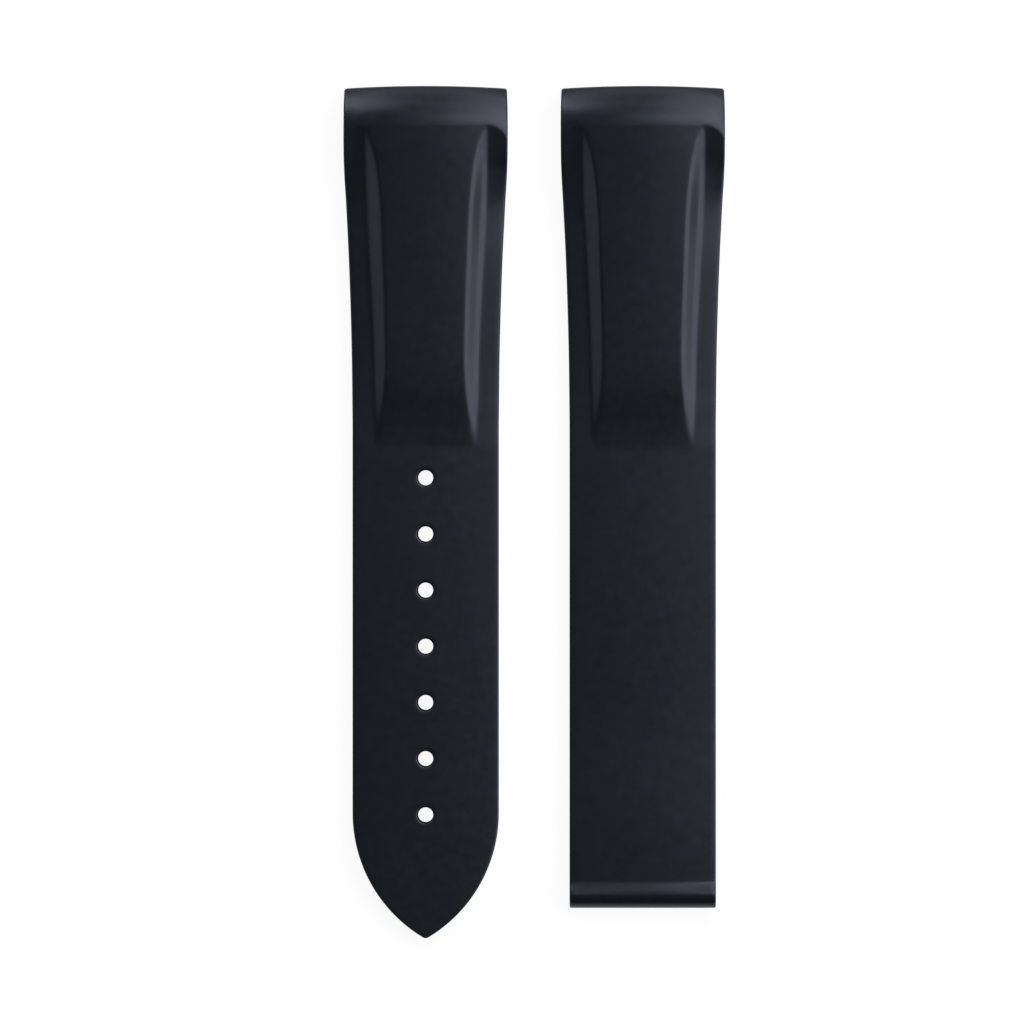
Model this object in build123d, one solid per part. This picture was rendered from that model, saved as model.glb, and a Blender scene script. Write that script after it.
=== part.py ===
from build123d import *
import math
import os

# A moulded rubber watch strap in two halves, laid flat side by side, in millimetres.
# X runs across the straps, Y along them with both lug ends at the +Y side, Z up, outer side up.
# The origin is at the middle of the pair, on the surface that the undersides rest on.

# Plan of both halves
lug_width = 20.0
shoulder_width = 20.2
body_width = 18.0
tail_half_length = 104.8
clasp_half_length = 101.1
half_spacing = 26.7
lug_end_bow_radius = 180.0
lug_corner_round = 0.6

# Thickness and rounding of both halves
lug_thickness = 4.8
body_thickness = 2.6
head_crown_radius = 60.0
body_crown_radius = 130.0
head_length = 4.9
head_roll_radius = 8.0
edge_bevel = 0.3

# Scoops pressed into both sides of each half, next to the centre pad
scoop_length = 39.4
scoop_depth = 1.15

# Adjustment holes and pointed tip of the tail half
hole_count = 7
hole_diameter = 1.85
hole_pitch = 6.91
last_hole_from_tip = 15.17
hole_mouth_bevel = 0.22
tip_length = 15.5
tip_round = 0.7

# Barrel across the clasp end
barrel_diameter = 3.2
barrel_ramp_length = 1.8

# Spring bars: one in each lug end and a thinner one in the barrel
lug_bar_diameter = 1.8
clasp_bar_diameter = 1.5
lug_bar_from_end = 2.35
lug_bar_height = 1.8
bar_tube_wall = 0.22
bar_lip_length = 0.3
pin_travel = 0.9
lug_pin_diameter = 0.8
clasp_pin_diameter = 0.7
pin_tip_length = 1.05
pin_tip_bevel = 0.15
pin_flange_length = 0.5
pin_flange_step = 0.15
spring_length = 6.0
spring_wall = 0.2
spring_side_gap = 0.1

# Metal tubes that line the rubber, and the gaps that let pieces turn and slide
lug_liner_wall = 0.25
clasp_liner_wall = 0.25
liner_inset = 0.3
running_gap = 0.05
seat_gap = 0.05

overrun = 2.0
weld_reach = 0.0005

# Down the scoop: place, crest, foot, depth at the foot and at the outer edge. Places are shares of
# the scoop's length, crest and foot shares of half the lug width, depths shares of the scoop's depth.
scoop_shares = (
    (0.00, 0.715, 0.785, 0.00, 0.00),
    (0.06, 0.652, 0.788, 0.33, 0.22),
    (0.14, 0.599, 0.784, 0.72, 0.66),
    (0.26, 0.556, 0.770, 1.00, 1.00),
    (0.41, 0.529, 0.742, 0.86, 0.86),
    (0.57, 0.506, 0.708, 0.68, 0.68),
    (0.73, 0.492, 0.674, 0.45, 0.45),
    (0.88, 0.526, 0.652, 0.13, 0.13),
    (1.00, 0.575, 0.645, 0.00, 0.00),
)
# How far the plan has narrowed from shoulder to body, and the pad has thinned, at those places
narrowing_shares = (0, 0.04, 0.15, 0.37, 0.61, 0.81, 0.94, 0.99, 1)
thinning_shares = (0, 0.045, 0.117, 0.225, 0.36, 0.505, 0.675, 0.905, 1)
# Up the ramp to the barrel: place along it, and rise as a share of the whole rise
ramp_shares = ((0, 0), (0.3, 0.22), (0.65, 0.75), (1, 1))

head_curvature = 1 / head_crown_radius
body_curvature = 1 / body_crown_radius
half_lug = lug_width / 2
half_shoulder = shoulder_width / 2
half_body = body_width / 2
barrel_radius = barrel_diameter / 2
scoop_end = head_length + scoop_length
tip_half_angle = 2 * math.atan(half_body / tip_length)
tip_point = tail_half_length + tip_round * (1 / math.sin(tip_half_angle) - 1)
tip_start = tip_point - tip_length
barrel_from_lug = clasp_half_length - barrel_radius
ramp_start = barrel_from_lug - barrel_ramp_length


def across(distance_from_lug):
    """Plane square to the strap, this far from its lug end."""
    return Plane.XZ.offset(distance_from_lug)


def crown_drop(x, curvature):
    """How far a crown of this curvature has fallen at x."""
    return x**2 * curvature / (1 + math.sqrt(1 - (x * curvature) ** 2))


def crown_point(x, top, curvature):
    """Point of the outer side at x, where the middle of its crown is at top."""
    return Vector(x, top - crown_drop(x, curvature))


def crown_arc(start, end, top, curvature):
    ends = [crown_point(x, top, curvature) for x in (start, (start + end) / 2, end)]
    return ThreePointArc(*ends) if curvature else Line(ends[0], ends[-1])


def crown_bevel(half_width, top, curvature):
    """Bevel between the crown and the side, as wide on the one as on the other."""
    tilt = math.asin((half_width - edge_bevel / 2) * curvature)
    start = crown_point(half_width - edge_bevel * math.cos(tilt), top, curvature)
    return Line(start, crown_point(half_width, top, curvature) - Vector(0, edge_bevel))


def plain_flank(half_width, top, curvature, crest, foot):
    """Outer side right of the pad where there is no scoop, split where the scoop would bend it."""
    bevel = crown_bevel(half_width, top, curvature)
    places = (crest, foot, (bevel @ 0).X)
    return [crown_arc(*pair, top, curvature) for pair in zip(places, places[1:])] + [bevel]


def scooped_flank(half_width, top, curvature, crest, foot, foot_drop, edge_drop):
    """Outer side right of the pad: hollow cove from the crest, straight margin, bevelled edge."""
    corner = crown_point(half_width, top, curvature) - Vector(0, edge_drop)
    foot_point = crown_point(foot, top, curvature) - Vector(0, foot_drop)
    crest_point = crown_point(crest, top, curvature)
    margin = (corner - foot_point).normalized()
    chord = crest_point - foot_point
    cove_rise = math.radians(chord.get_angle(-margin))
    cove_bend = foot_point - margin * (chord.length / 2 / math.cos(cove_rise))
    bevel_start = corner - margin * edge_bevel
    return [
        Bezier(crest_point, cove_bend, foot_point),
        Line(foot_point, bevel_start),
        Line(bevel_start, corner - Vector(0, edge_bevel)),
    ]


def closed_section(flank, top, curvature):
    """Whole cross-section from its right flank: pad, both flanks and sides, bevelled underside."""
    half_width = (flank[-1] @ 1).X
    foot = half_width - edge_bevel
    crest = (flank[0] @ 0).X
    pad = crown_arc(-crest, crest, top, curvature)
    side = Line(flank[-1] @ 1, (half_width, edge_bevel))
    under_bevel = Line(side @ 1, (foot, 0))
    left = [edge.mirror(Plane.YZ) for edge in reversed(flank + [side, under_bevel])]
    return make_face([pad] + flank + [side, under_bevel, Line((foot, 0), (-foot, 0))] + left)


def scooped_stretch():
    """Stretch from the head to the plain body, with a scoop on each side of the pad."""
    sections = []
    for scoop, narrowing, thinning in zip(scoop_shares, narrowing_shares, thinning_shares):
        place, crest_share, foot_share, foot_drop_share, edge_drop_share = scoop
        half_width = half_shoulder + (half_body - half_shoulder) * narrowing
        top = lug_thickness + (body_thickness - lug_thickness) * thinning
        curvature = head_curvature + (body_curvature - head_curvature) * thinning
        outline = (half_width, top, curvature, crest_share * half_lug, foot_share * half_lug)
        if foot_drop_share:
            flank = scooped_flank(*outline, foot_drop_share * scoop_depth, edge_drop_share * scoop_depth)
        else:
            flank = plain_flank(*outline)
        section = closed_section(flank, top, curvature)
        sections.append(across(head_length + place * scoop_length) * section)
    return loft(sections)


def bevelled(block, joint_from_lug):
    """Bevel the upper and lower rims of a block, but not where it joins the next stretch."""

    def free_rim(face):
        return face.edges().filter_by(lambda edge: abs(edge.center().Y + joint_from_lug) > seat_gap)

    block = chamfer(free_rim(block.faces().sort_by(Axis.Z)[-1]), edge_bevel)
    return chamfer(free_rim(block.faces().sort_by(Axis.Z)[0]), edge_bevel)


def crowned_face(half_span, top, curvature, bottom):
    """Upright face across the strap under the crown, wider than the strap."""
    crown = crown_arc(-half_span, half_span, top, curvature)
    sides = Polyline(crown @ 1, (half_span, bottom), (-half_span, bottom), crown @ 0)
    return make_face([crown, sides])


def lug_head():
    """Lug end: bowed in plan, its outer side rolled down towards the watch case."""
    bow = crown_drop(half_lug, 1 / lug_end_bow_radius)
    swell = half_shoulder - half_lug
    swell_radius = (head_length**2 + swell**2) / (2 * swell)
    corner = Vector(half_lug, -bow)
    shoulder = Vector(half_shoulder, -head_length)
    side = RadiusArc(corner, shoulder, swell_radius)
    end = ThreePointArc((-half_lug, -bow), (0, 0), corner)
    joint = Line(shoulder, (-half_shoulder, -head_length))
    plan = make_face([end, side, joint, side.mirror(Plane.YZ)])
    plan = fillet(plan.vertices().group_by(Axis.Y)[-1], lug_corner_round)

    roll_height = lug_thickness - head_roll_radius
    roll_axis = Axis((0, -head_length, roll_height), (1, 0, 0))
    roll_angle = math.degrees(math.asin((head_length + overrun) / head_roll_radius))
    face = crowned_face(half_shoulder + overrun, lug_thickness, head_curvature, roll_height)
    rolled = revolve(across(head_length) * face, roll_axis, -roll_angle)
    return bevelled(extrude(plan, lug_thickness) & rolled, head_length)


def tail_end():
    """Plain body below the scoops, drawn in by one arc on each side to a rounded point."""
    start = Vector(half_body, -scoop_end)
    bend = Vector(half_body, -tip_start)
    side = Line(start, bend)
    ogive = TangentArc(bend, (0, -tip_point), tangent=(0, -1))
    joint = Line((-half_body, -scoop_end), start)
    plan = make_face([joint, side, ogive, ogive.mirror(Plane.YZ), side.mirror(Plane.YZ)])
    plan = fillet(plan.vertices().group_by(Axis.Y)[0], tip_round)
    face = crowned_face(half_body + overrun, body_thickness, body_curvature, 0)
    crowned = extrude(across(scoop_end) * face, tip_point - scoop_end, dir=(0, -1, 0))
    return bevelled(extrude(plan, body_thickness) & crowned, scoop_end)


def clasp_end():
    """Plain body, the ramp up from it, and the round barrel that holds the clasp's bar."""
    bevel = crown_bevel(half_body, body_thickness, body_curvature)
    plain_section = closed_section([bevel], body_thickness, body_curvature)
    plain = extrude(across(scoop_end) * plain_section, ramp_start - scoop_end, dir=(0, -1, 0))
    sections = []
    for place, rise_share in ramp_shares:
        top = body_thickness + (barrel_diameter - body_thickness) * rise_share
        curvature = body_curvature * (1 - place)
        section = closed_section([crown_bevel(half_body, top, curvature)], top, curvature)
        sections.append(across(ramp_start + place * barrel_ramp_length) * section)
    flat_end = half_body - edge_bevel
    shoulder = barrel_diameter - edge_bevel
    quarter = [(flat_end, barrel_diameter), (half_body, shoulder), (half_body, barrel_radius)]
    half_section = make_face(Polyline(quarter + [(-x, z) for x, z in reversed(quarter)], close=True))
    barrel_axis = Axis((0, -barrel_from_lug, barrel_radius), (1, 0, 0))
    barrel = revolve(across(barrel_from_lug) * half_section, barrel_axis, 180)
    return plain, loft(sections), barrel


def rod(diameter, length):
    """Round rod along X, centred."""
    return Rotation(0, 90, 0) * Cylinder(diameter / 2, length)


def liner_outside(bar_diameter, wall):
    return bar_diameter + 2 * (running_gap + wall)


def liner(bar_diameter, wall, strap_width):
    """Metal tube inside the rubber, in which the spring bar turns."""
    length = strap_width - 2 * liner_inset
    outside = rod(liner_outside(bar_diameter, wall), length)
    return outside - rod(bar_diameter + 2 * running_gap, length)


def pin_places(span):
    """Places along the right pin when pressed in: shoulder, tube end, flange and its end, tip."""
    flange_end = span / 2 - pin_tip_length
    flange = flange_end - pin_flange_length
    tube_end = flange - seat_gap
    shoulder = tube_end - bar_lip_length - pin_travel - seat_gap
    return shoulder, tube_end, flange, flange_end, span / 2


def bar_tube(bar_diameter, pin_diameter, span):
    """Tube of a spring bar, its ends turned in so that they hold the pins."""
    tube_end = pin_places(span)[1]
    tube = rod(bar_diameter, 2 * tube_end)
    tube -= rod(bar_diameter - 2 * bar_tube_wall, 2 * (tube_end - bar_lip_length))
    return tube - rod(pin_diameter + 2 * running_gap, 2 * tube_end)


def bar_pin(bar_diameter, pin_diameter, span):
    """Right pin, pressed in: piston on the spring, neck, flange for the tool, rounded tip."""
    shoulder, _, flange, flange_end, tip = pin_places(span)
    piston_radius = bar_diameter / 2 - bar_tube_wall - running_gap
    flange_radius = bar_diameter / 2 - pin_flange_step
    pin_radius = pin_diameter / 2
    inner = spring_length / 2
    profile = make_face(
        Polyline(
            (inner, 0),
            (inner, piston_radius),
            (shoulder, piston_radius),
            (shoulder, pin_radius),
            (flange, pin_radius),
            (flange, flange_radius),
            (flange_end, flange_radius),
            (flange_end, pin_radius),
            (tip - pin_tip_bevel, pin_radius),
            (tip, pin_radius - pin_tip_bevel),
            (tip, 0),
            close=True,
        )
    )
    return revolve(profile, Axis.X)


def bar_spring(bar_diameter):
    """Spring between the two pins, pressed to its shortest: hidden, so a plain sleeve in its place."""
    outside = bar_diameter - 2 * (bar_tube_wall + spring_side_gap)
    length = spring_length - 2 * seat_gap
    return rod(outside, length) - rod(outside - 2 * spring_wall, length)


def spring_bar(bar_diameter, pin_diameter, span):
    right_pin = bar_pin(bar_diameter, pin_diameter, span)
    return {
        "bar_tube": bar_tube(bar_diameter, pin_diameter, span),
        "bar_spring": bar_spring(bar_diameter),
        "bar_pin_left": right_pin.mirror(Plane.YZ),
        "bar_pin_right": right_pin,
    }


def hole_row(strap):
    """Cut the adjustment holes down the middle and bevel their mouths on the outer side."""
    for number in range(hole_count):
        from_tip = last_hole_from_tip + number * hole_pitch
        strap -= Pos(0, from_tip - tail_half_length, 0) * Cylinder(hole_diameter / 2, 2 * lug_thickness)
    mouths = strap.edges().filter_by(
        lambda edge: edge.is_closed and edge.center().Z > body_thickness / 2
    )
    return chamfer(mouths, hole_mouth_bevel)


lug_bar_place = Pos(0, -lug_bar_from_end, lug_bar_height)
clasp_bar_place = Pos(0, -barrel_from_lug, barrel_radius)
lug_bore = lug_bar_place * rod(liner_outside(lug_bar_diameter, lug_liner_wall), lug_width + overrun)
clasp_bore = clasp_bar_place * rod(
    liner_outside(clasp_bar_diameter, clasp_liner_wall), body_width + overrun
)

head_and_scoops = lug_head().fuse(scooped_stretch(), tol=weld_reach)
tail_strap = hole_row(head_and_scoops.fuse(tail_end(), tol=weld_reach)) - lug_bore
clasp_strap = head_and_scoops.fuse(*clasp_end(), tol=weld_reach) - lug_bore - clasp_bore

lug_liner = lug_bar_place * liner(lug_bar_diameter, lug_liner_wall, lug_width)
clasp_liner = clasp_bar_place * liner(clasp_bar_diameter, clasp_liner_wall, body_width)
lug_bar = spring_bar(lug_bar_diameter, lug_pin_diameter, lug_width)
clasp_bar = spring_bar(clasp_bar_diameter, clasp_pin_diameter, body_width)

lug_end_y = tail_half_length / 2
tail_place = Pos(-half_spacing / 2, lug_end_y, 0)
clasp_place = Pos(half_spacing / 2, lug_end_y, 0)

nodes = {
    "tail_strap": tail_place * tail_strap,
    "clasp_strap": clasp_place * clasp_strap,
    "tail_lug_liner": tail_place * lug_liner,
    "clasp_lug_liner": clasp_place * lug_liner,
    "clasp_end_liner": clasp_place * clasp_liner,
}
for piece, shape in lug_bar.items():
    nodes["tail_lug_" + piece] = tail_place * lug_bar_place * shape
    nodes["clasp_lug_" + piece] = clasp_place * lug_bar_place * shape
for piece, shape in clasp_bar.items():
    nodes["clasp_end_" + piece] = clasp_place * clasp_bar_place * shape

os.makedirs("parts", exist_ok=True)
for name, shape in nodes.items():
    export_step(shape, f"parts/{name}.step")
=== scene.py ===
import math

import bmesh
import bpy
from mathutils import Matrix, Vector


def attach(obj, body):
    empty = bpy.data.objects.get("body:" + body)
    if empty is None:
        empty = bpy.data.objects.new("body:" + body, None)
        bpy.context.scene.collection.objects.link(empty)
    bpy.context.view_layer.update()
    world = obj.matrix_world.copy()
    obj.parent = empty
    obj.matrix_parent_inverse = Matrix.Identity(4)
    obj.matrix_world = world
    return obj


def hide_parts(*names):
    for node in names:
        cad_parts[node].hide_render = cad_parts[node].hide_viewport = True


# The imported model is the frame: its bodies, its metal pieces and the two rubber solids that the
# finely made halves below stand for. Everything is in metres.
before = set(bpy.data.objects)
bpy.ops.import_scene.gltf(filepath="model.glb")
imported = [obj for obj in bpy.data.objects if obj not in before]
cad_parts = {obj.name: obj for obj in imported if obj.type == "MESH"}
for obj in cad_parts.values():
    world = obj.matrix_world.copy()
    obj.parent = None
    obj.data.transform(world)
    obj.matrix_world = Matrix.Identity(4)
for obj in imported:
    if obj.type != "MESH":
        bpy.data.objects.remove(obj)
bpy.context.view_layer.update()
mm = 0.001


# The table that the strap is photographed on: a round white sheet that sweeps up far away, a large
# soft box on the right with a brighter one inside it, smaller ones beyond the lug ends, weak cards
# lower down on three sides, and a camera looking straight down through a long lens.
look_at = Vector((-2.73 * mm, 0.02 * mm, 2.6 * mm))
camera_height = 1399 * mm

camera_data = bpy.data.cameras.new("camera")
camera_data.lens = 400
camera_data.sensor_width = 36
camera = bpy.data.objects.new("camera", camera_data)
camera.location = look_at + Vector((0, 0, camera_height))
camera_data.clip_start = 0.01
camera_data.clip_end = 100
bpy.context.scene.collection.objects.link(camera)
bpy.context.scene.camera = camera
bpy.context.scene.view_settings.view_transform = "Standard"


def soft_box(name, place, size, watts):
    """Soft box at place, in metres, aimed at the strap. Its size is its level width and its height."""
    data = bpy.data.lights.new(name, "AREA")
    data.shape = "RECTANGLE"
    data.size, data.size_y = size
    data.energy = watts
    lamp = bpy.data.objects.new(name, data)
    lamp.location = place
    lamp.rotation_euler = (look_at - Vector(place)).to_track_quat("-Z", "Y").to_euler()
    bpy.context.scene.collection.objects.link(lamp)


soft_box("right_box", (0.57, 0.02, 0.56), (0.60, 0.50), 3.4)
soft_box("right_box_middle", (0.40, 0.05, 0.69), (0.40, 0.20), 0.3)
soft_box("upper_right_box", (0.25, 0.27, 0.71), (0.36, 0.36), 1.7)
soft_box("overhead_right_box", (0.18, 0.15, 0.76), (0.22, 0.20), 0.10)
soft_box("overhead_box", (-0.02, 0.10, 0.80), (0.34, 0.18), 0.07)
soft_box("far_right_box", (0.33, 0.57, 0.47), (0.44, 0.52), 2.6)
soft_box("far_left_box", (-0.35, 0.58, 0.43), (0.36, 0.48), 2.6)
soft_box("far_card", (0.00, 0.75, 0.27), (0.50, 0.20), 0.5)
soft_box("right_card", (0.75, 0.00, 0.30), (0.60, 0.24), 1.2)
soft_box("left_card", (-0.70, -0.08, 0.34), (0.50, 0.50), 0.65)

world = bpy.data.worlds.new("studio")
world.use_nodes = True
world.node_tree.nodes["Background"].inputs["Color"].default_value = (1, 1, 1, 1)
world.node_tree.nodes["Background"].inputs["Strength"].default_value = 0.12
bpy.context.scene.world = world


# The sheet glows by itself for this share, near the strap, past it, and in a mirror image. The change
# from near to past lies between these distances, in metres.
near_glow, far_glow, mirror_glow = 0.92, 1.0, 0.5
near_reach, far_reach = 0.1, 0.5


def white_sheet():
    """Matt white sheet that shows as white to the camera and takes a faint shadow near the strap."""
    material = bpy.data.materials.new("white_sheet")
    material.use_nodes = True
    nodes, links = material.node_tree.nodes, material.node_tree.links
    matt = nodes["Principled BSDF"]
    matt.inputs["Base Color"].default_value = (0.92, 0.92, 0.92, 1)
    matt.inputs["Roughness"].default_value = 0.9
    glow = nodes.new("ShaderNodeEmission")
    glow.inputs["Strength"].default_value = 1.0

    def combined(operation, first, second):
        node = nodes.new("ShaderNodeMath")
        node.operation = operation
        links.new(first, node.inputs[0])
        if isinstance(second, float):
            node.inputs[1].default_value = second
        else:
            links.new(second, node.inputs[1])
        return node.outputs[0]

    place = nodes.new("ShaderNodeTexCoord")
    away = nodes.new("ShaderNodeVectorMath")
    away.operation = "LENGTH"
    links.new(place.outputs["Object"], away.inputs[0])
    clearer = nodes.new("ShaderNodeMapRange")
    clearer.inputs["From Min"].default_value = near_reach
    clearer.inputs["From Max"].default_value = far_reach
    clearer.inputs["To Min"].default_value = near_glow
    clearer.inputs["To Max"].default_value = far_glow
    links.new(away.outputs["Value"], clearer.inputs["Value"])
    rays = nodes.new("ShaderNodeLightPath").outputs
    seen = combined("MAXIMUM", rays["Is Camera Ray"], rays["Is Transmission Ray"])
    seen = combined("MULTIPLY", seen, clearer.outputs["Result"])
    mirrored = combined("MULTIPLY", rays["Is Glossy Ray"], mirror_glow)
    mix = nodes.new("ShaderNodeMixShader")
    links.new(combined("MAXIMUM", seen, mirrored), mix.inputs["Fac"])
    links.new(matt.outputs[0], mix.inputs[1])
    links.new(glow.outputs[0], mix.inputs[2])
    links.new(mix.outputs[0], nodes["Material Output"].inputs["Surface"])
    material.cycles.emission_sampling = "NONE"
    return material


sheet_mesh = bpy.data.meshes.new("sheet")
# radius and height of the rings of the sheet, in metres
sheet_rings, sheet_sides = ((2.6, 0.0), (2.8, 0.03), (3.0, 0.13), (3.1, 0.3), (3.12, 0.7)), 64
turns = [2 * math.pi * k / sheet_sides for k in range(sheet_sides)]
sheet_mesh.from_pydata(
    [(r * math.cos(turn), r * math.sin(turn), lift) for r, lift in sheet_rings for turn in turns],
    [],
    [list(range(sheet_sides))] + [
        [i * sheet_sides + k, (i + 1) * sheet_sides + k, (i + 1) * sheet_sides + j, i * sheet_sides + j]
        for i in range(len(sheet_rings) - 1)
        for k, j in ((k, (k + 1) % sheet_sides) for k in range(sheet_sides))
    ],
)
sheet = bpy.data.objects.new("sheet", sheet_mesh)
sheet_mesh.materials.append(white_sheet())
bpy.context.scene.collection.objects.link(sheet)


# The rubber: black with a cold tint, satin from a finely blasted mould. Under a lens it has a fine
# grain, a very slight unevenness over a few millimetres, and patches that are a little drier.
oily_black, dry_black = (0.0025, 0.0034, 0.0043), (0.0032, 0.0043, 0.0055)
patch_scale, gloss_scale, grain_scale, swell_scale = 180, 900, 9000, 260
grain_depth, swell_depth = 0.004 * mm, 0.02 * mm


def moulded_rubber(name, smoothest, roughest, shine):
    """Rubber whose roughness runs from smoothest to roughest, with this much shine seen head on."""
    material = bpy.data.materials.new(name)
    material.use_nodes = True
    nodes, links = material.node_tree.nodes, material.node_tree.links
    skin = nodes["Principled BSDF"]
    place = nodes.new("ShaderNodeTexCoord")

    def noise(scale, detail, roughness=0.5):
        node = nodes.new("ShaderNodeTexNoise")
        node.inputs["Scale"].default_value = scale
        node.inputs["Detail"].default_value = detail
        node.inputs["Roughness"].default_value = roughness
        links.new(place.outputs["Object"], node.inputs["Vector"])
        return node.outputs["Fac"]

    def shift(value, low, high):
        node = nodes.new("ShaderNodeMapRange")
        node.inputs["From Min"].default_value = 0.3
        node.inputs["From Max"].default_value = 0.7
        node.inputs["To Min"].default_value = low
        node.inputs["To Max"].default_value = high
        links.new(value, node.inputs["Value"])
        return node.outputs["Result"]

    patches = noise(patch_scale, 3)
    tint = nodes.new("ShaderNodeMix")
    tint.data_type = "RGBA"
    tint.inputs["A"].default_value = (*oily_black, 1)
    tint.inputs["B"].default_value = (*dry_black, 1)
    links.new(shift(patches, 0, 1), tint.inputs["Factor"])
    links.new(tint.outputs["Result"], skin.inputs["Base Color"])
    links.new(shift(noise(gloss_scale, 4), smoothest, roughest), skin.inputs["Roughness"])
    skin.inputs["IOR"].default_value = 1.4
    skin.inputs["Specular Tint"].default_value = (0.72, 0.77, 1.0, 1)
    skin.inputs["Specular IOR Level"].default_value = shine

    grain = nodes.new("ShaderNodeBump")
    grain.inputs["Strength"].default_value = 0.25
    grain.inputs["Distance"].default_value = grain_depth
    links.new(noise(grain_scale, 2, 0.6), grain.inputs["Height"])
    swell = nodes.new("ShaderNodeBump")
    swell.inputs["Strength"].default_value = 0.3
    swell.inputs["Distance"].default_value = swell_depth
    links.new(noise(swell_scale, 1), swell.inputs["Height"])
    links.new(swell.outputs["Normal"], grain.inputs["Normal"])
    links.new(grain.outputs["Normal"], skin.inputs["Normal"])
    return material


rubber = moulded_rubber("moulded_rubber", 0.28, 0.34, 0.5)


# Both rubber halves leave the same mould from the lug end to the end of the scoops: a thick head that
# rolls down towards the watch, a centre pad with a crisp crest on each side, and a hollow beside each
# crest that runs out into the flat body. Each row of points goes once round the strap.
lug_width, shoulder_width, body_width = 20.0, 20.2, 18.0
lug_thickness, body_thickness = 4.8, 2.6
head_length, scoop_length, scoop_depth = 4.9, 39.4, 1.15
head_roll_radius, end_bow_radius, body_crown_radius, head_crown_radius = 8.0, 180.0, 130.0, 60.0
rim_round, corner_round, crest_round, foot_share = 0.22, 0.3, 0.42, 0.24
crease_start, crease_slant, crease_bend = 7.4, 1.65, 2.4
crease_fade_in, crease_fade_out = 2.5, 9.0
lug_bar_from_end, lug_bar_height, lug_bore = 2.35, 1.8, 2.4
half_spacing = 26.7
lug_end_y = 52.4
hole_pitch = 6.91
hole_field = hole_pitch / 2
half_lug, half_shoulder, half_body = lug_width / 2, shoulder_width / 2, body_width / 2
scoop_end = head_length + scoop_length
field_columns, side_columns, rim_columns = 8, 4, 6
head_rows, corner_rows, scoop_rows, scoop_row_crowding = 12, 8, 120, 1.2
# cells of pad, rounded crest, straight flank, rounded foot and margin
flank_columns = (5, 5, 3, 6, 4)
outer_columns = field_columns + sum(flank_columns)

# place down the scoop, crest, foot, depth at foot and at the outer edge, how far the plan has narrowed
# and how far the pad has thinned
scoop_shares = (
    (0.00, 0.715, 0.785, 0.00, 0.00, 0.00, 0.000),
    (0.06, 0.652, 0.788, 0.33, 0.22, 0.015, 0.045),
    (0.14, 0.599, 0.784, 0.72, 0.66, 0.09, 0.117),
    (0.26, 0.556, 0.770, 1.00, 1.00, 0.31, 0.225),
    (0.41, 0.529, 0.742, 0.90, 0.90, 0.575, 0.345),
    (0.57, 0.506, 0.708, 0.84, 0.84, 0.78, 0.470),
    (0.73, 0.492, 0.682, 0.74, 0.74, 0.92, 0.590),
    (0.82, 0.505, 0.675, 0.60, 0.60, 0.96, 0.690),
    (0.88, 0.522, 0.668, 0.38, 0.38, 0.98, 0.810),
    (0.94, 0.545, 0.660, 0.17, 0.17, 1.00, 0.925),
    (1.00, 0.575, 0.645, 0.00, 0.00, 1.00, 1.000),
)


def along_scoop(place, column):
    """Value of a column of the scoop's shares at a place, on a smooth curve that doesn't overshoot."""
    place = min(max(place, 0), 1)
    places = [row[0] for row in scoop_shares]
    values = [row[column] for row in scoop_shares]
    steps = [b - a for a, b in zip(places, places[1:])]
    slopes = [(b - a) / step for a, b, step in zip(values, values[1:], steps)]
    rates = [slopes[0]]
    for before, after in zip(slopes, slopes[1:]):
        rates.append(0 if before * after <= 0 else 2 * before * after / (before + after))
    rates.append(slopes[-1])
    i = min(max(k for k, start in enumerate(places) if start <= place), len(steps) - 1)
    t = (place - places[i]) / steps[i]
    return (
        values[i] * (1 + 2 * t) * (1 - t) ** 2
        + rates[i] * steps[i] * t * (1 - t) ** 2
        + values[i + 1] * t * t * (3 - 2 * t)
        + rates[i + 1] * steps[i] * t * t * (t - 1)
    )


def eased(place):
    """Rise from 0 to 1 that starts and ends level."""
    place = min(max(place, 0), 1)
    return place * place * (3 - 2 * place)


def quarter_round(radius, distance):
    """How far a rounded edge stands back this far from the end face."""
    return radius - math.sqrt(radius**2 - max(0, radius - distance) ** 2)


def curve(a, b, c, count):
    """Points after a on the curve from a to c that b draws towards it."""
    shares = [k / count for k in range(1, count + 1)]
    return [a * (1 - t) ** 2 + b * 2 * t * (1 - t) + c * t * t for t in shares]


def straight(a, b, count):
    """Points after a on the line from a to b."""
    return [a.lerp(b, k / count) for k in range(1, count + 1)]


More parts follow.
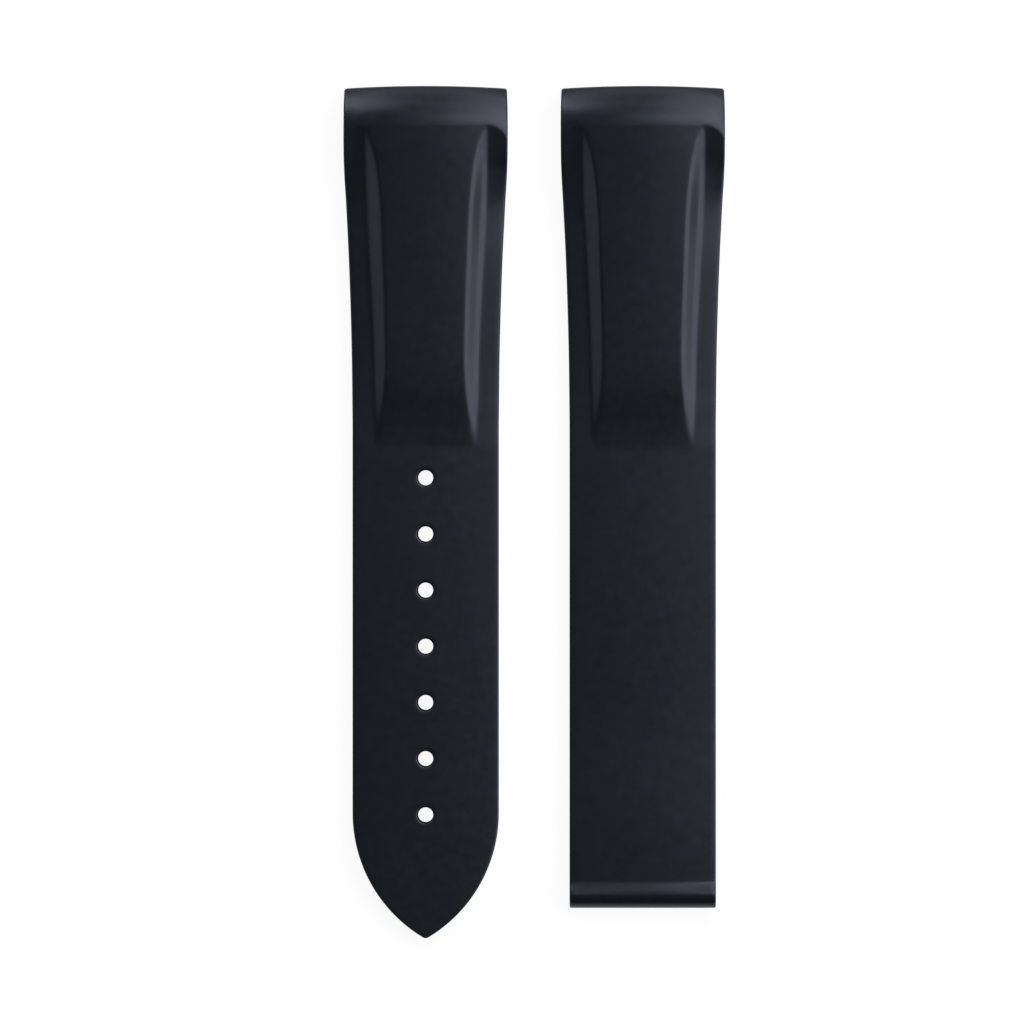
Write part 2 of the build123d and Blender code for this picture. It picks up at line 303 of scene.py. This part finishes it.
class Row:
    """One row of points round the strap, this far from its lug end."""

    def __init__(self, distance, half_width, top, crown=None):
        self.distance, self.half_width, self.top = distance, half_width, top
        self.place = (distance - head_length) / scoop_length
        head_crown, body_crown = 1 / head_crown_radius, 1 / body_crown_radius
        if crown is None:
            crown = head_crown + (body_crown - head_crown) * along_scoop(self.place, 6)
        self.crown = crown
        self.outward = Vector((1, 0))
        self.field_share = 1.0
        self.roll = self.end_inset = 0.0
        self.barrel_turn = None

    def height(self, x):
        """Height of the domed outer side, before a scoop is taken off it."""
        z = self.top - x * x * self.crown / (1 + math.sqrt(1 - (x * self.crown) ** 2))
        if self.roll:
            roll_height = lug_thickness - head_roll_radius
            z = roll_height + math.sqrt((z - roll_height) ** 2 - self.roll**2)
        return z - self.end_inset

    def outer_side(self):
        """Right half of the outer side, from the middle to the rim, and its slope at the rim."""
        end = self.half_width - rim_round * self.outward.x
        crest, foot = along_scoop(self.place, 1) * half_lug, along_scoop(self.place, 2) * half_lug
        foot_drop = edge_drop = 0
        if 0 < self.place < 1:
            foot_drop, edge_drop = (along_scoop(self.place, column) * scoop_depth for column in (3, 4))
        elif self.place >= 1:
            crest, foot = (x * end / (half_body - rim_round) for x in (crest, foot))
        field = Vector((hole_field * self.field_share, 0))
        crest_point, foot_point = Vector((crest, 0)), Vector((foot, foot_drop))
        margin = (Vector((self.half_width + 0.001, edge_drop)) - foot_point).normalized()
        foot_reach = foot_share * (foot_point - crest_point).length
        bend = foot_point - margin * foot_reach
        flank = (bend - crest_point).normalized()
        crest_reach = min(crest_round, 0.45 * (bend - crest_point).length)
        pad_end = crest_point - Vector((crest_reach, 0))
        crest_end, foot_start = crest_point + flank * crest_reach, bend - flank * foot_reach
        edge = foot_point + margin * ((end - foot) / margin.x)
        pad, crest_cells, flank_cells, foot_cells, margin_cells = flank_columns
        points = [field * (k / field_columns) for k in range(field_columns + 1)]
        points += straight(field, pad_end, pad) + curve(pad_end, crest_point, crest_end, crest_cells)
        points += straight(crest_end, foot_start, flank_cells)
        points += curve(foot_start, bend, foot_point, foot_cells)
        points += straight(foot_point, edge, margin_cells)
        slope = -end * self.crown * self.outward.x - margin.y / margin.x
        return [Vector((p.x, self.height(p.x) - p.y)) for p in points], slope

    def ring(self):
        """Points of the right half, from the middle of the outer side round to that of the underside."""
        outer, slope = self.outer_side()
        leg = rim_round * math.hypot(1, slope)
        corner_height = outer[-1].y + slope * rim_round
        between = math.pi / 2 - math.atan(slope)
        radius = leg * math.tan(between / 2)
        centre = Vector((self.half_width - radius, corner_height - leg))
        turn = math.pi - between
        rim = []
        for k in range(1, rim_columns + 1):
            angle = turn * (1 - k / rim_columns)
            rim.append(centre + Vector((math.cos(angle), math.sin(angle))) * radius)
        bottom = self.end_inset
        side = straight(rim[-1], Vector((self.half_width, bottom + rim_round)), side_columns)
        under_rim = []
        for k in range(1, rim_columns + 1):
            up = rim_round * (1 - math.sin(math.pi / 2 * k / rim_columns))
            under_rim.append(Vector((self.half_width - quarter_round(rim_round, up), bottom + up)))
        across = [self.laid(p.x, rim_round, p.y) for p in outer]
        around = [self.laid(None, self.half_width - p.x, p.y) for p in rim + side + under_rim[:-1]]
        below = [self.laid(p.x, rim_round, bottom) for p in reversed(outer)]
        return across + around + below

    def laid(self, x, inset, z):
        """Where a point goes: the rim follows the outline, and what lies between goes straight across."""
        if x is None:
            x = self.half_width - self.outward.x * inset
        y = -(self.distance - self.outward.y * inset)
        if self.barrel_turn is not None:
            lift = z - barrel_radius
            y -= abs(lift) * math.sin(self.barrel_turn)
            z = barrel_radius + lift * math.cos(self.barrel_turn)
        return Vector((x, y, z))


def shared_rows():
    """Rows of the head and of the scooped stretch."""
    rows = []
    turns = [math.pi / 2 * k / corner_rows for k in range(corner_rows + 1)]
    round_steps = [corner_round * (1 - math.cos(turn)) for turn in turns]
    head_step = (head_length - corner_round) / head_rows
    head_steps = [corner_round + head_step * k for k in range(1, head_rows + 1)]
    for distance in round_steps + head_steps:
        swell = half_shoulder - (half_shoulder - half_lug) * ((head_length - distance) / head_length) ** 2
        row = Row(distance, swell - quarter_round(corner_round, distance), lug_thickness)
        row.roll = head_length - distance
        row.end_inset = quarter_round(rim_round, distance)
        rows.append(row)
    for k in range(1, scoop_rows + 1):
        place = (k / scoop_rows) ** scoop_row_crowding
        width = half_shoulder + (half_body - half_shoulder) * along_scoop(place, 5)
        top = lug_thickness + (body_thickness - lug_thickness) * along_scoop(place, 6)
        rows.append(Row(head_length + scoop_length * place, width, top))
    return rows


def dressed(rows):
    """Rings of points for the rows, with the lug end bowed and the head's crease slanted at the sides."""
    rings = []
    for row in rows:
        ring = row.ring()
        for k, point in enumerate(ring):
            if row.distance < head_length:
                point.y -= point.x**2 / 2 / end_bow_radius * (1 - row.distance / head_length)
                fade = max(0, (row.distance - crease_fade_in) / (head_length - crease_fade_in))
            else:
                fade = max(0, 1 - (row.distance - head_length) / crease_fade_out)
            if k <= outer_columns + rim_columns and point.x > crease_start:
                slant = (point.x - crease_start) / (half_shoulder - crease_start)
                point.y -= crease_slant * fade * slant**crease_bend
        rings.append(ring)
    return rings


def shell(name, rings, open_rows=(), pinched_end=False):
    """Closed skin through the rings; in the open rows the hole field is left out."""
    bm = bmesh.new()
    n = len(rings[0])
    loops = []
    for ring in rings:
        right = [bm.verts.new(p * mm) for p in ring]
        left = [bm.verts.new(Vector((-p.x, p.y, p.z)) * mm) for p in ring[1:-1]]
        loops.append(right + left[::-1])
    size = len(loops[0])
    for i, (a, b) in enumerate(zip(loops, loops[1:])):
        for k in range(size):
            j = (k + 1) % size
            if i in open_rows:
                near = min(k, size - k) if k else 0
                far = min(j, size - j) if j else 0
                if max(near, far) <= field_columns or min(near, far) >= n - 1 - field_columns:
                    continue
            bm.faces.new((a[k], a[j], b[j], b[k]))
    ends = [loops[0]] if pinched_end else [loops[0], loops[-1]]
    for loop in ends:
        right = loop[:n]
        left = [loop[0]] + loop[:n - 1:-1] + [loop[n - 1]]
        for side in (right, left):
            for k in range(outer_columns):
                bm.faces.new((side[k], side[k + 1], side[n - 2 - k], side[n - 1 - k]))
            bm.faces.new(side[outer_columns:n - outer_columns])
    bmesh.ops.remove_doubles(bm, verts=bm.verts, dist=1e-8)
    bmesh.ops.dissolve_degenerate(bm, edges=bm.edges, dist=1e-9)
    bmesh.ops.recalc_face_normals(bm, faces=bm.faces)
    for face in bm.faces:
        face.smooth = True
    mesh = bpy.data.meshes.new(name)
    bm.to_mesh(mesh)
    bm.free()
    obj = bpy.data.objects.new(name, mesh)
    bpy.context.scene.collection.objects.link(obj)
    return obj


def finished(obj):
    """The object's shape with its modifiers applied, as a plain mesh."""
    evaluated = obj.evaluated_get(bpy.context.evaluated_depsgraph_get())
    mesh = bpy.data.meshes.new_from_object(evaluated)
    obj.modifiers.clear()
    obj.data = mesh
    return obj


def bore(name, radius, length, y, z, mouth=0.10, overrun=1.0):
    """Cutter for a bore right across a half, with slightly flared mouths."""
    inside, outside = length / 2 - mouth, length / 2 + overrun
    wide = radius + mouth + overrun
    profile = [(outside, wide), (inside, radius), (-inside, radius), (-outside, wide)]
    bm = bmesh.new()
    sides = 48
    loops = []
    for x, r in profile:
        turns = [2 * math.pi * k / sides for k in range(sides)]
        loops.append([
            bm.verts.new(Vector((x, y + r * math.cos(turn), z + r * math.sin(turn))) * mm) for turn in turns
        ])
    for a, b in zip(loops, loops[1:]):
        for k in range(sides):
            j = (k + 1) % sides
            bm.faces.new((a[k], a[j], b[j], b[k]))
    bm.faces.new(loops[0])
    bm.faces.new(loops[-1])
    bmesh.ops.recalc_face_normals(bm, faces=bm.faces)
    mesh = bpy.data.meshes.new(name)
    bm.to_mesh(mesh)
    bm.free()
    obj = bpy.data.objects.new(name, mesh)
    bpy.context.scene.collection.objects.link(obj)
    return obj


def cut(obj, cutter):
    """Take the cutter's shape off the object, and the cutter out of the scene."""
    modifier = obj.modifiers.new("bore", "BOOLEAN")
    modifier.operation = "DIFFERENCE"
    modifier.object = cutter
    modifier.solver = "EXACT"
    finished(obj)
    bpy.data.objects.remove(cutter)


def settle(obj, x):
    """Put a finished half in its place on the table, in its mesh."""
    for vertex in obj.data.vertices:
        vertex.co += Vector((x, lug_end_y, 0)) * mm
    obj.data.update()


def hand_over(half, body, node):
    """Mark the half's sharp edges and put it on its body, in place of its plain solid."""
    bm = bmesh.new()
    bm.from_mesh(half.data)
    for edge in bm.edges:
        edge.smooth = len(edge.link_faces) == 2 and edge.calc_face_angle() < math.radians(40)
    for face in bm.faces:
        face.smooth = True
    bm.to_mesh(half.data)
    bm.free()
    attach(half, body)
    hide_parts(node)


# The clasp half: the flat body thickens a little and then climbs a short ramp to a round barrel, the
# knuckle that a clasp's spring bar goes through. The crown dies out over the ramp, so the barrel is
# straight across.
clasp_half_length, barrel_diameter, barrel_ramp_length, clasp_bore = 101.1, 3.2, 1.8, 2.1
barrel_radius = barrel_diameter / 2
end_swell, end_swell_length = 0.4, 24.0
soft_start, soft_top = 0.25, 0.35
body_rows, ramp_rows, barrel_rows = 60, 18, 14
barrel_from_lug = clasp_half_length - barrel_radius
ramp_start = barrel_from_lug - barrel_ramp_length


def ramp_rise(place):
    """Share of the ramp's rise: a soft start, an even slope, and a soft top where it meets the barrel."""
    start, top = min(place, soft_start), max(place - 1 + soft_top, 0)
    risen = start**2 / (2 * soft_start) + place - start - top**2 / (2 * soft_top)
    return risen / (1 - (soft_start + soft_top) / 2)


clasp_rows = shared_rows()
for k in range(1, body_rows + 1):
    distance = scoop_end + (ramp_start - scoop_end) * k / body_rows
    swell = end_swell * eased(1 - (ramp_start - distance) / end_swell_length)
    clasp_rows.append(Row(distance, half_body, body_thickness + swell))
for k in range(1, ramp_rows + 1):
    place = k / ramp_rows
    rise = end_swell + (barrel_diameter - body_thickness - end_swell) * ramp_rise(place)
    distance = ramp_start + barrel_ramp_length * place
    crown = (1 - eased(place)) / body_crown_radius
    clasp_rows.append(Row(distance, half_body, body_thickness + rise, crown))
for k in range(1, barrel_rows + 1):
    row = Row(barrel_from_lug, half_body, barrel_diameter, 0)
    row.barrel_turn = math.pi / 2 * k / barrel_rows
    clasp_rows.append(row)

clasp_rubber = shell("clasp_rubber", dressed(clasp_rows), pinched_end=True)
cut(clasp_rubber, bore("lug_bore", lug_bore / 2, shoulder_width, -lug_bar_from_end, lug_bar_height))
cut(clasp_rubber, bore("clasp_bore", clasp_bore / 2, body_width, -barrel_from_lug, barrel_radius))
settle(clasp_rubber, half_spacing / 2)
clasp_rubber.data.materials.append(rubber)
hand_over(clasp_rubber, "clasp_half", "clasp_strap")


# The tail half: the body ends in a point with curved sides, and pins in the mould leave seven holes
# with rounded mouths. Their walls are a rougher, duller rubber, and its low shine is also painted
# shade for the dark inside of each hole. The skin leaves out a square round each hole, and the
# hole's own skin is set in there.
tail_half_length, tip_length, tip_round = 104.8, 15.5, 0.7
hole_count, first_hole, hole_radius, mouth_round = 7, 48.17, 0.925, 0.3
tip_rows, point_rows, square_rows, mouth_rows = 30, 8, 6, 6
wall_heights, wall_steepness = (1.7, 1.0, mouth_round), 0.87
tip_half_angle = 2 * math.atan(half_body / tip_length)
tip_point = tail_half_length + tip_round * (1 / math.sin(tip_half_angle) - 1)
tip_start = tip_point - tip_length
side_radius = (half_body**2 + tip_length**2) / (2 * half_body)
side_centre = half_body - side_radius

tail_rows = shared_rows()
field_start = first_hole - hole_pitch / 2
field_rows = 2 * field_columns * hole_count
row_step = hole_pitch / (2 * field_columns)
tail_rows.append(Row(field_start, half_body, body_thickness))
first_open_row = len(tail_rows) - 1


def outline_row(chord_s):
    """Row in the curved part of the tail, whose straight chord lies at chord_s."""
    sine = (chord_s - tip_start) / (side_radius - rim_round)
    out = Vector((math.sqrt(1 - sine * sine), sine))
    row = Row(tip_start + side_radius * sine, side_centre + side_radius * out.x, body_thickness)
    row.outward = out
    return row


for k in range(1, field_rows + 1):
    s = field_start + row_step * k
    tail_rows.append(outline_row(s) if s > tip_start else Row(s, half_body, body_thickness))
open_rows = range(first_open_row, first_open_row + field_rows)
field_end = field_start + row_step * field_rows
field_end_chord = tail_rows[-1].half_width - rim_round * tail_rows[-1].outward.x
round_centre = tip_start + math.sqrt((side_radius - tip_round) ** 2 - side_centre**2)
last_angle = math.atan2(round_centre - tip_start, -side_centre)
last_chord = tip_start + (side_radius - rim_round) * math.sin(last_angle)
for k in range(1, tip_rows + 1):
    row = outline_row(field_end + (last_chord - field_end) * k / tip_rows)
    row.field_share = (row.half_width - rim_round * row.outward.x) / field_end_chord
    tail_rows.append(row)
for k in range(1, point_rows + 1):
    angle = last_angle + (math.pi / 2 - last_angle) * k / point_rows
    row = Row(round_centre + tip_round * math.sin(angle), tip_round * math.cos(angle), body_thickness)
    row.outward = Vector((math.cos(angle), math.sin(angle)))
    row.field_share = max(0.0, (row.half_width - rim_round * row.outward.x) / field_end_chord)
    tail_rows.append(row)

tail_rubber = shell("tail_rubber", dressed(tail_rows), open_rows, pinched_end=True)
# Duller rubber for the hole walls: partly a rougher finish, and its low shine is painted shade for the dark
# inside of each hole.
hole_wall_dull_rubber_and_painted_shade = moulded_rubber("hole_wall_dull_rubber_and_painted_shade", 0.70, 0.85, 0.12)


def hole_skin():
    """Skin of one hole: a square round its mouth, the rounded mouth, the wall, and the same below."""
    bm = bmesh.new()
    per_side = 2 * field_columns
    square = []
    for side in range(4):
        for k in range(per_side):
            u = -1 + 2 * k / per_side
            square.append([(1, u), (-u, 1), (-1, -u), (u, -1)][side])
    loops = []

    def loop(points, height_at):
        loops.append([bm.verts.new(Vector((x, y, height_at(x))) * mm) for x, y in points])

    def ring_of(radius):
        return [(radius * x / math.hypot(x, y), radius * y / math.hypot(x, y)) for x, y in square]

    def between(share, radius):
        circle = ring_of(radius)
        return [
            (hole_field * sx * (1 - share) + cx * share, hole_field * sy * (1 - share) + cy * share)
            for (sx, sy), (cx, cy) in zip(square, circle)
        ]

    mouth = hole_radius + mouth_round
    flat_body = Row(scoop_end, half_body, body_thickness)
    turns = [math.pi / 2 * k / mouth_rows for k in range(1, mouth_rows + 1)]
    for k in range(square_rows + 1):
        loop(between(k / square_rows, mouth), lambda x: flat_body.height(x))
    for turn in turns:
        drop = mouth_round * (1 - math.cos(turn))
        loop(ring_of(mouth - mouth_round * math.sin(turn)), lambda x: flat_body.height(x) - drop)
    for z in wall_heights:
        loop(ring_of(hole_radius), lambda x: z)
    for turn in turns:
        lift = mouth_round * (1 - math.sin(turn))
        loop(ring_of(mouth - mouth_round * math.cos(turn)), lambda x: lift)
    for k in range(1, square_rows + 1):
        loop(between(1 - k / square_rows, mouth), lambda x: 0)
    count = len(square)
    for a, b in zip(loops, loops[1:]):
        for k in range(count):
            j = (k + 1) % count
            bm.faces.new((a[k], a[j], b[j], b[k]))
    bmesh.ops.recalc_face_normals(bm, faces=bm.faces)
    for face in bm.faces:
        face.smooth = True
    mesh = bpy.data.meshes.new("hole_skin")
    bm.to_mesh(mesh)
    bm.free()
    obj = bpy.data.objects.new("hole_skin", mesh)
    bpy.context.scene.collection.objects.link(obj)
    return obj


def hole_row_tree():
    """Sets one hole's skin at every step down the strap and welds the row to the strap's own skin."""
    tree = bpy.data.node_groups.new("hole_row", "GeometryNodeTree")
    face = tree.interface
    face.new_socket("Geometry", in_out="INPUT", socket_type="NodeSocketGeometry")
    for label, kind in (("Hole", "Object"), ("Count", "Int"), ("First", "Float"), ("Pitch", "Float"),
                        ("Rubber", "Material")):
        face.new_socket(label, in_out="INPUT", socket_type="NodeSocket" + kind)
    face.new_socket("Geometry", in_out="OUTPUT", socket_type="NodeSocketGeometry")
    nodes, links = tree.nodes, tree.links
    given = nodes.new("NodeGroupInput")
    start, step = nodes.new("ShaderNodeCombineXYZ"), nodes.new("ShaderNodeCombineXYZ")
    links.new(given.outputs["First"], start.inputs["Y"])
    links.new(given.outputs["Pitch"], step.inputs["Y"])
    line = nodes.new("GeometryNodeMeshLine")
    links.new(given.outputs["Count"], line.inputs["Count"])
    links.new(start.outputs[0], line.inputs["Start Location"])
    links.new(step.outputs[0], line.inputs["Offset"])
    hole = nodes.new("GeometryNodeObjectInfo")
    links.new(given.outputs["Hole"], hole.inputs["Object"])
    each = nodes.new("GeometryNodeInstanceOnPoints")
    links.new(line.outputs[0], each.inputs["Points"])
    links.new(hole.outputs["Geometry"], each.inputs["Instance"])
    real = nodes.new("GeometryNodeRealizeInstances")
    links.new(each.outputs[0], real.inputs[0])
    together = nodes.new("GeometryNodeJoinGeometry")
    links.new(real.outputs[0], together.inputs[0])
    links.new(given.outputs["Geometry"], together.inputs[0])
    weld = nodes.new("GeometryNodeMergeByDistance")
    weld.inputs["Distance"].default_value = 0.002 * mm
    links.new(together.outputs[0], weld.inputs["Geometry"])
    smooth = nodes.new("GeometryNodeSetShadeSmooth")
    links.new(weld.outputs[0], smooth.inputs["Geometry"])
    finish = nodes.new("GeometryNodeSetMaterial")
    links.new(smooth.outputs[0], finish.inputs["Geometry"])
    links.new(given.outputs["Rubber"], finish.inputs["Material"])
    out = nodes.new("NodeGroupOutput")
    links.new(finish.outputs[0], out.inputs[0])
    return tree


one_hole = hole_skin()
row = tail_rubber.modifiers.new("hole_row", "NODES")
row.node_group = hole_row_tree()
sockets = {
    item.name: item.identifier
    for item in row.node_group.interface.items_tree
    if item.in_out == "INPUT"
}
row[sockets["Hole"]] = one_hole
row[sockets["Count"]] = hole_count
row[sockets["First"]] = -first_hole * mm
row[sockets["Pitch"]] = -hole_pitch * mm
row[sockets["Rubber"]] = rubber
finished(tail_rubber)
bpy.data.objects.remove(one_hole)
cut(tail_rubber, bore("lug_bore", lug_bore / 2, shoulder_width, -lug_bar_from_end, lug_bar_height))
settle(tail_rubber, -half_spacing / 2)
tail_rubber.data.materials.clear()
tail_rubber.data.materials.append(rubber)
tail_rubber.data.materials.append(hole_wall_dull_rubber_and_painted_shade)
hole_places = [
    Vector((-half_spacing / 2, lug_end_y - first_hole - hole_pitch * k, 0)) for k in range(hole_count)
]
# Steep faces in and round each hole take the duller rubber, whose low shine is painted shade.
for face in tail_rubber.data.polygons:
    centre = face.center / mm
    steep = abs(face.normal.z) < wall_steepness
    if steep and any((centre - place).xy.length < hole_radius + mouth_round for place in hole_places):
        face.material_index = 1
hand_over(tail_rubber, "tail_half", "tail_strap")


# The metal that holds the strap to the watch and the clasp: a drawn steel tube lines each bore, and a
# spring bar turns in it. Drawing and turning leave fine rings round the axis, which runs along X.
ring_length_ratio = 60


def turned_steel(name, colour, low, high, ring_scale, ring_depth):
    """Steel whose roughness runs from low to high over rings this close, in waves a metre, and deep."""
    material = bpy.data.materials.new(name)
    material.use_nodes = True
    nodes, links = material.node_tree.nodes, material.node_tree.links
    metal = nodes["Principled BSDF"]
    metal.inputs["Metallic"].default_value = 1.0
    metal.inputs["Base Color"].default_value = (*colour, 1)
    place = nodes.new("ShaderNodeTexCoord")
    stretch = nodes.new("ShaderNodeMapping")
    along = ring_scale / ring_length_ratio
    stretch.inputs["Scale"].default_value = (ring_scale, along, along)
    links.new(place.outputs["Object"], stretch.inputs["Vector"])
    rings = nodes.new("ShaderNodeTexNoise")
    rings.inputs["Scale"].default_value = 1.0
    rings.inputs["Detail"].default_value = 4
    links.new(stretch.outputs[0], rings.inputs["Vector"])
    dull = nodes.new("ShaderNodeMapRange")
    dull.inputs["To Min"].default_value = low
    dull.inputs["To Max"].default_value = high
    links.new(rings.outputs["Fac"], dull.inputs["Value"])
    links.new(dull.outputs["Result"], metal.inputs["Roughness"])
    marks = nodes.new("ShaderNodeBump")
    marks.inputs["Strength"].default_value = 0.3
    marks.inputs["Distance"].default_value = ring_depth
    links.new(rings.outputs["Fac"], marks.inputs["Height"])
    links.new(marks.outputs["Normal"], metal.inputs["Normal"])
    return material


liner_steel = turned_steel("liner_steel", (0.56, 0.57, 0.58), 0.30, 0.45, 9000, 0.002 * mm)
bar_steel = turned_steel("bar_steel", (0.62, 0.62, 0.63), 0.20, 0.34, 14000, 0.001 * mm)
spring_steel = turned_steel("spring_steel", (0.45, 0.45, 0.46), 0.25, 0.40, 20000, 0.001 * mm)
for name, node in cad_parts.items():
    if name.endswith("_strap"):
        continue
    steel = bar_steel
    if name.endswith("_liner"):
        steel = liner_steel
    elif name.endswith("_spring"):
        steel = spring_steel
    node.data.materials.clear()
    node.data.materials.append(steel)
